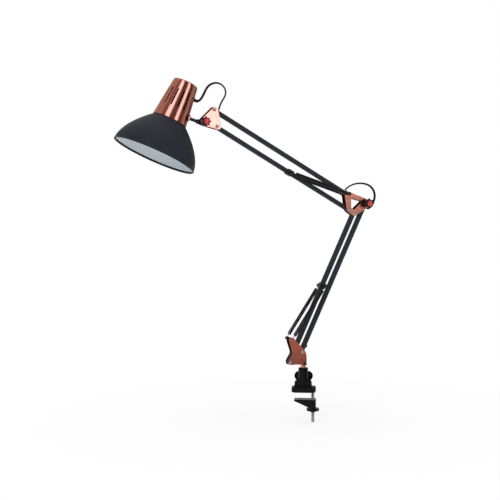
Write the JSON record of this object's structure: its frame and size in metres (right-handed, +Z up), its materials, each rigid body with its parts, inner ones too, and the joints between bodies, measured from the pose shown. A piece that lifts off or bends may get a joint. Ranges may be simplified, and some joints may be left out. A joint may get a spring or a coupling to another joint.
{
  "type": "desk lamp",
  "caption": "Sprung parallelogram-arm desk lamp with a table clamp, copper brackets and vented cap, a dark domed shade and a cord that loops round each joint.",
  "frame": {"origin": "on the swivel post's axis, in the face of the clamp's foot that rests on the table top", "axes": "+Z up along the swivel post, the arms swing in the XZ plane with the shade towards -X and the knobs on the -Y side"},
  "size_m": [0.5214, 0.1572, 0.6484],
  "materials": {
    "copper": "polished copper plate",
    "slate": "matte dark slate powder coat",
    "black_plastic": "black moulded plastic",
    "black_steel": "blackened steel",
    "zinc": "bright zinc plate",
    "red_plastic": "glossy red",
    "pad": "pale grey rubber",
    "brass": "plain brass",
    "cord": "black flexible cord sheath"
  },
  "bodies": {
    "clamp": {"clamp_casting": "black_plastic", "clamp_screw": "zinc"},
    "clamp_jaw": {"lower_jaw": "black_plastic", "jaw_pad": "pad"},
    "clamp_wheel": {"clamp_wheel": "black_plastic"},
    "lock_screw": {"lock_screw": "black_plastic"},
    "base_bracket": {"swivel_post": "copper", "base_plate_near": "copper", "base_plate_far": "copper", "post_rivet": "black_steel", "base_front_bolt": "zinc", "base_rear_bolt": "zinc", "spring_hook_near": "copper", "spring_hook_far": "black_steel"},
    "lower_rear_tube": {"lower_rear_tube": "slate", "supply_inlet": "black_plastic", "lower_cord_grommet": "black_plastic", "cord_run_lower": "cord"},
    "lower_front_tube": {"lower_front_tube": "slate", "lower_spring_clip": "black_steel", "lower_spring_pin": "black_steel"},
    "lower_springs": {"lower_spring_near": "black_steel", "lower_spring_far": "black_steel"},
    "elbow_bracket": {"elbow_plate_near": "copper", "elbow_plate_far": "copper", "elbow_front_bolt": "zinc", "elbow_low_bolt": "zinc", "elbow_spring_pin": "black_steel", "elbow_stud": "zinc", "elbow_cord_loop": "cord"},
    "elbow_knob": {"elbow_knob": "black_plastic", "elbow_knob_cap": "red_plastic"},
    "upper_top_tube": {"upper_top_tube": "slate", "upper_entry_grommet": "black_plastic", "upper_exit_grommet": "black_plastic", "cord_run_upper": "cord"},
    "upper_bottom_tube": {"upper_bottom_tube": "slate", "upper_spring_clip": "black_steel", "upper_spring_pin": "black_steel"},
    "upper_springs": {"upper_spring_near": "black_steel", "upper_spring_far": "black_steel"},
    "upper_spring_eyes": {"upper_spring_eye_near": "black_steel", "upper_spring_eye_far": "black_steel"},
    "head_bracket": {"head_plate_near": "copper", "head_plate_far": "copper", "head_low_bolt": "zinc", "head_high_bolt": "zinc", "head_stud": "zinc", "head_cord_loop": "cord"},
    "head_knob": {"head_knob": "black_plastic", "head_knob_cap": "red_plastic"},
    "knuckle": {"knuckle": "black_plastic"},
    "head": {"head_rod": "black_steel", "rod_boss": "copper", "shade_cap": "copper", "shade_dome": "slate", "lampholder": "black_plastic", "screw_shell": "brass", "centre_contact": "brass", "cord_gland": "black_plastic"}
  },
  "joints": [
    {"name": "base_swivel", "type": "hinge", "parent": "clamp", "child": "base_bracket", "pos_m": [0, 0, 0.048], "axis": [0, 0, 1], "continuous": true},
    {"name": "lower_arm", "type": "hinge", "parent": "base_bracket", "child": "lower_rear_tube", "pos_m": [-0.0045, 0, 0.078], "axis": [0, 1, 0], "range_deg": [-60, 8], "deforming": ["lower_spring_near", "lower_spring_far", "elbow_cord_loop"]},
    {"name": "lower_front_link", "type": "hinge", "parent": "base_bracket", "child": "lower_front_tube", "pos_m": [-0.0299, 0, 0.0585], "axis": [0, 1, 0], "range_deg": [-60, 8]},
    {"name": "lower_spring_link", "type": "hinge", "parent": "base_bracket", "child": "lower_springs", "pos_m": [-0.0289, 0, 0.1035], "axis": [0, 1, 0], "range_deg": [-81, 10.8]},
    {"name": "elbow_level", "type": "hinge", "parent": "lower_rear_tube", "child": "elbow_bracket", "pos_m": [0.12982, 0, 0.35961], "axis": [0, 1, 0], "range_deg": [-8, 60]},
    {"name": "upper_arm", "type": "hinge", "parent": "elbow_bracket", "child": "upper_top_tube", "pos_m": [0.08772, 0, 0.37861], "axis": [0, 1, 0], "range_deg": [-55, 20], "deforming": ["upper_spring_near", "upper_spring_far", "upper_spring_eye_near", "upper_spring_eye_far", "head_cord_loop"]},
    {"name": "upper_bottom_link", "type": "hinge", "parent": "elbow_bracket", "child": "upper_bottom_tube", "pos_m": [0.09302, 0, 0.34811], "axis": [0, 1, 0], "range_deg": [-55, 20]},
    {"name": "upper_spring_link", "type": "hinge", "parent": "elbow_bracket", "child": "upper_springs", "pos_m": [0.08772, 0, 0.37861], "axis": [0, 1, 0], "range_deg": [-57.2, 20.8]},
    {"name": "upper_spring_stretch", "type": "slide", "parent": "upper_springs", "child": "upper_spring_eyes", "axis": [-0.9468, 0, 0.3217], "range_m": [-0.0101, 0.0277]},
    {"name": "head_level", "type": "hinge", "parent": "upper_top_tube", "child": "head_bracket", "pos_m": [-0.18302, 0, 0.53366], "axis": [0, 1, 0], "range_deg": [-20, 55]},
    {"name": "head_tilt", "type": "hinge", "parent": "head_bracket", "child": "knuckle", "pos_m": [-0.20372, 0, 0.51166], "axis": [0, 1, 0], "range_deg": [-50, 50]},
    {"name": "head_swivel", "type": "hinge", "parent": "knuckle", "child": "head", "pos_m": [-0.20453, 0, 0.50919], "axis": [0.951, 0, -0.3092], "range_deg": [-90, 90]},
    {"name": "elbow_knob_turn", "type": "hinge", "parent": "elbow_bracket", "child": "elbow_knob", "pos_m": [0.12982, 0, 0.35961], "axis": [0, 1, 0], "range_deg": [-180, 180]},
    {"name": "head_knob_turn", "type": "hinge", "parent": "head_bracket", "child": "head_knob", "pos_m": [-0.20372, 0, 0.51166], "axis": [0, 1, 0], "range_deg": [-180, 180]},
    {"name": "lock_screw_turn", "type": "hinge", "parent": "clamp", "child": "lock_screw", "pos_m": [0, 0, 0.0285], "axis": [0.4695, 0.8829, 0], "range_deg": [-180, 180]},
    {"name": "jaw_slide", "type": "slide", "parent": "clamp", "child": "clamp_jaw", "axis": [0, 0, 1], "range_m": [-0.008, 0.008]},
    {"name": "clamp_wheel_turn", "type": "hinge", "parent": "clamp_jaw", "child": "clamp_wheel", "pos_m": [0.01642, -0.00873, -0.034], "axis": [0, 0, 1], "range_deg": [-2880, 2880]}
  ],
  "couplings": [
    {"joint": "lower_front_link", "follows": "lower_arm", "ratio": 1},
    {"joint": "lower_spring_link", "follows": "lower_arm", "ratio": 1.35},
    {"joint": "elbow_level", "follows": "lower_arm", "ratio": -1},
    {"joint": "upper_bottom_link", "follows": "upper_arm", "ratio": 1},
    {"joint": "upper_spring_link", "follows": "upper_arm", "ratio": 1.04},
    {"joint": "upper_spring_stretch", "follows": "upper_arm", "m_per_rad": -0.0287},
    {"joint": "head_level", "follows": "upper_arm", "ratio": -1},
    {"joint": "clamp_wheel_turn", "follows": "jaw_slide", "rad_per_m": 6283.2}
  ]
}
